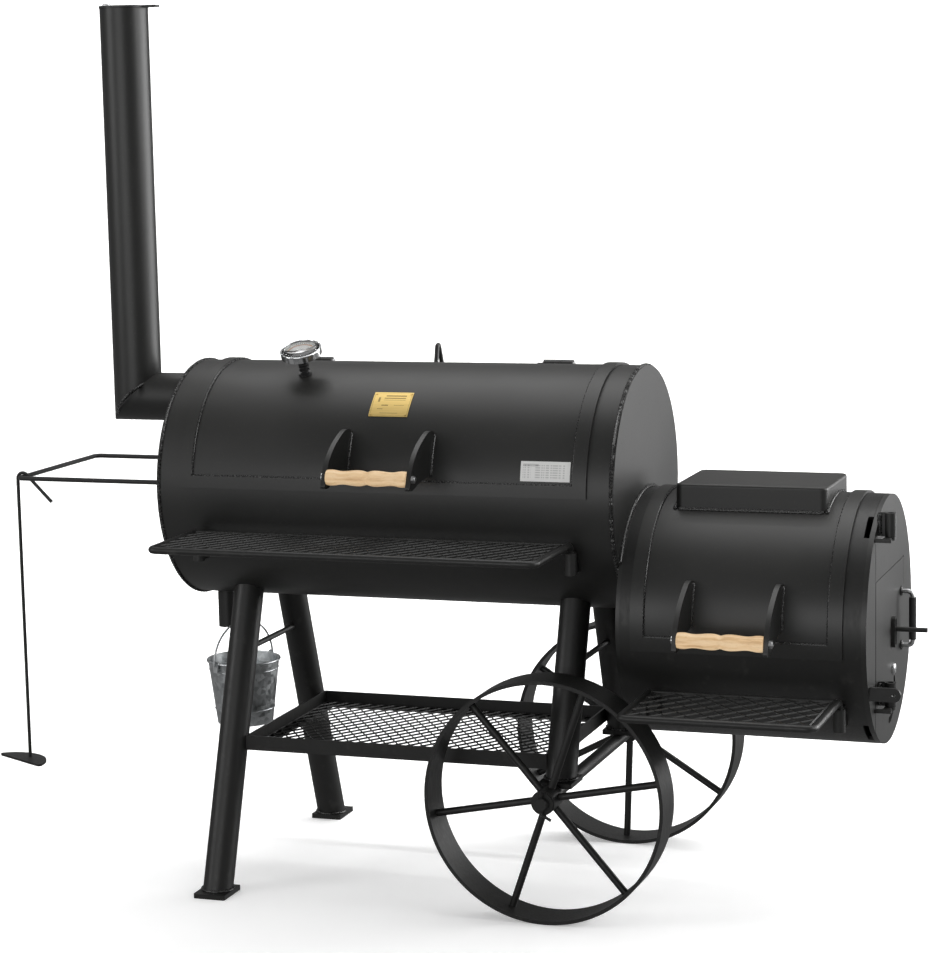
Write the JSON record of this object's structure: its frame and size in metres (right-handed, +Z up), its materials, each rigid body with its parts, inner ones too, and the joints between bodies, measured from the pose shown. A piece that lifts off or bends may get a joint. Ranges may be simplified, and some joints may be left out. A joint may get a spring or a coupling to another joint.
{
  "type": "offset smoker",
  "caption": "Offset barbecue smoker: long cooking drum on splayed legs and spoked wheels, lower fire drum at one end, chimney, front shelves, side rack, ash rake and grease bucket",
  "frame": {"origin": "on the ground, below the middle of the smoker's overall box", "axes": "+X along the drums towards the fire door, +Y to the back, +Z up; the cook stands on the -Y side"},
  "size_m": [1.6299, 0.6984, 1.4988],
  "materials": {
    "black_steel": "satin heat-proof black paint over rolled steel, light dust and small scratches",
    "raw_grate": "dark oiled grate bars",
    "zinc": "zinc-plated fasteners",
    "galvanised": "galvanised sheet with soft spangle",
    "turned_wood": "turned pale hardwood, oiled, with fine grain",
    "chromed": "polished case",
    "dial_white": "printed dial",
    "brass_plate": null,
    "white_label": "printed paper label",
    "black_grip": "black grip sleeve"
  },
  "bodies": {
    "smoker_body": {"chamber_shell": "black_steel", "chamber_ends": "black_steel", "firebox_shell": "black_steel", "firebox_inner_end": "black_steel", "firebox_end_segment": "black_steel", "fixed_knuckles": "black_steel", "lid_hinge_pins": "zinc", "lid_stops": "black_steel", "door_hinge_pins": "black_steel", "side_bar": "black_steel", "chimney_pipe": "black_steel", "chimney_elbow": "black_steel", "cap_pivot": "zinc", "grate_rails": "black_steel", "cooking_grates": "raw_grate", "fire_grate": "raw_grate", "grill_grate": "raw_grate", "drain_tube": "black_steel", "legs": "black_steel", "foot_plates": "black_steel", "bottom_shelf_frame": "black_steel", "bottom_shelf_mesh": "black_steel", "axle": "black_steel", "axle_retainers": "black_steel", "shelf_sockets": "black_steel", "side_rack": "black_steel", "bucket_hook": "zinc"},
    "chamber_lid": {"chamber_lid_plate": "black_steel", "chamber_lid_strap": "black_steel", "chamber_handle_ears": "black_steel", "chamber_handle_grip": "turned_wood", "chamber_handle_bolt": "zinc", "thermometer": "chromed", "thermometer_dial": "dial_white", "maker_plate": "brass_plate", "care_label": "white_label"},
    "firebox_lid": {"firebox_lid_plate": "black_steel", "firebox_lid_strap": "black_steel", "firebox_handle_ears": "black_steel", "firebox_handle_grip": "turned_wood", "firebox_handle_bolt": "zinc", "hot_plate": "black_steel"},
    "door": {"fire_door": "black_steel", "door_barrels": "black_steel", "door_handle": "zinc", "door_grip": "black_grip", "pivot_bolt": "zinc"},
    "vent_slide": {"air_slide": "black_steel"},
    "cap": {"chimney_cap": "black_steel"},
    "front_wheel": {"front_wheel_rim": "black_steel", "front_wheel_spokes": "black_steel"},
    "rear_wheel": {"rear_wheel_rim": "black_steel", "rear_wheel_spokes": "black_steel"},
    "chamber_shelf": {"chamber_shelf_frame": "black_steel", "chamber_shelf_mesh": "black_steel"},
    "firebox_shelf": {"firebox_shelf_frame": "black_steel", "firebox_shelf_mesh": "black_steel"},
    "rake": {"ash_rake": "black_steel"},
    "bail": {"bucket_bail": "galvanised"},
    "pail": {"bucket": "galvanised"}
  },
  "joints": [
    {"name": "chamber_lid_hinge", "type": "hinge", "parent": "smoker_body", "child": "chamber_lid", "pos_m": [-0.04795, 0.14878, 0.86909], "axis": [-1, 0, 0], "range_deg": [0, 108.1]},
    {"name": "firebox_lid_hinge", "type": "hinge", "parent": "smoker_body", "child": "firebox_lid", "pos_m": [0.55205, 0.14878, 0.66509], "axis": [-1, 0, 0], "range_deg": [0, 98.5]},
    {"name": "door_hinge", "type": "hinge", "parent": "smoker_body", "child": "door", "pos_m": [0.77745, -0.05024, 0.4725], "axis": [0, 0, -1], "range_deg": [0, 120]},
    {"name": "vent_travel", "type": "slide", "parent": "door", "child": "vent_slide", "axis": [0, 0, 1], "range_m": [-0.023, 0.013]},
    {"name": "cap_swing", "type": "hinge", "parent": "smoker_body", "child": "cap", "pos_m": [-0.61025, 0.05276, 1.49], "axis": [0, 0, 1], "range_deg": [-110, 110]},
    {"name": "front_wheel_spin", "type": "hinge", "parent": "smoker_body", "child": "front_wheel", "pos_m": [0.24805, -0.19324, 0.2007], "axis": [0, 1, 0], "continuous": true},
    {"name": "rear_wheel_spin", "type": "hinge", "parent": "smoker_body", "child": "rear_wheel", "pos_m": [0.24805, 0.29876, 0.2007], "axis": [0, 1, 0], "continuous": true},
    {"name": "chamber_shelf_lift", "type": "slide", "parent": "smoker_body", "child": "chamber_shelf", "axis": [0, 0, 1], "range_m": [0, 0.027]},
    {"name": "firebox_shelf_lift", "type": "slide", "parent": "smoker_body", "child": "firebox_shelf", "axis": [0, 0, 1], "range_m": [0, 0.027]},
    {"name": "rake_swing", "type": "hinge", "parent": "smoker_body", "child": "rake", "pos_m": [-0.74145, -0.08024, 0.6835], "axis": [0, 1, 0], "range_deg": [-15, 15]},
    {"name": "bail_swing", "type": "hinge", "parent": "smoker_body", "child": "bail", "pos_m": [-0.39095, 0.05276, 0.4179], "axis": [0.3907, 0.9205, 0], "range_deg": [-5, 5]},
    {"name": "pail_swing", "type": "hinge", "parent": "bail", "child": "pail", "pos_m": [-0.39095, 0.05276, 0.3475], "axis": [0.3907, 0.9205, 0], "range_deg": [-5, 5]}
  ]
}
